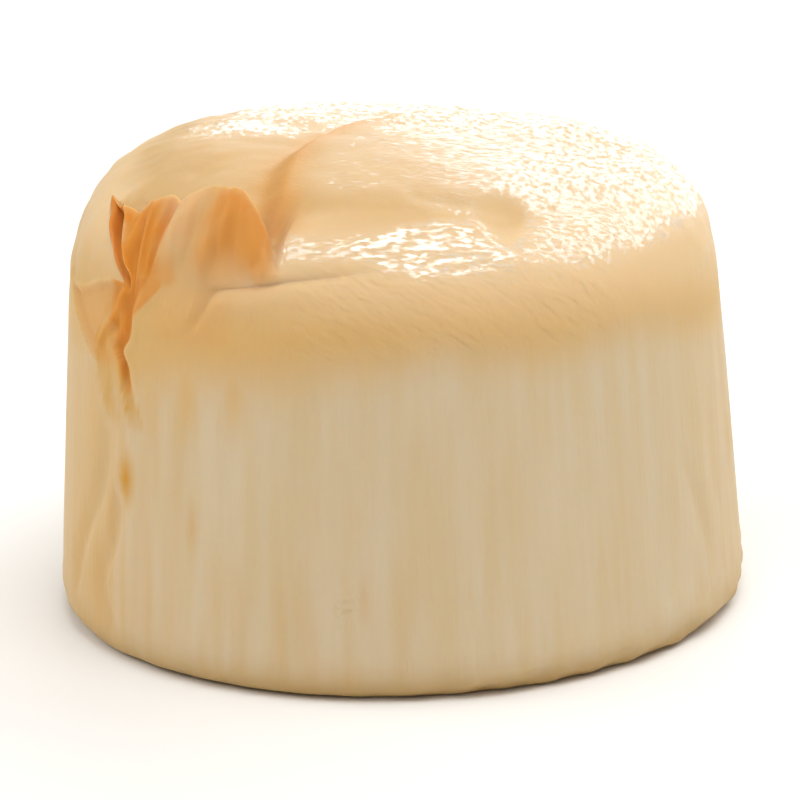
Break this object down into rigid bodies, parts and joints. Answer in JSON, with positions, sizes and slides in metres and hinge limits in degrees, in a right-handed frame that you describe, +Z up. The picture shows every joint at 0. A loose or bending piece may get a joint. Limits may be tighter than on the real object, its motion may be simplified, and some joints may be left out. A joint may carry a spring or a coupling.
{
  "type": "smoked burrata",
  "caption": "Smoked burrata: a soft slumped drum of cheese with a creased, dimpled top and the gathered neck of its skin standing at the shoulder.",
  "frame": {"origin": "middle of the flat foot that the cheese stands on", "axes": "+Z up through the drum, -Y towards the side that the picture shows"},
  "size_m": [0.0756, 0.0755, 0.0533],
  "materials": {
    "smoked_skin": "moist smoked cheese skin: glossy orange-cream top, satin beige wall"
  },
  "bodies": {
    "root": {"burrata": "smoked_skin"}
  },
  "joints": []
}
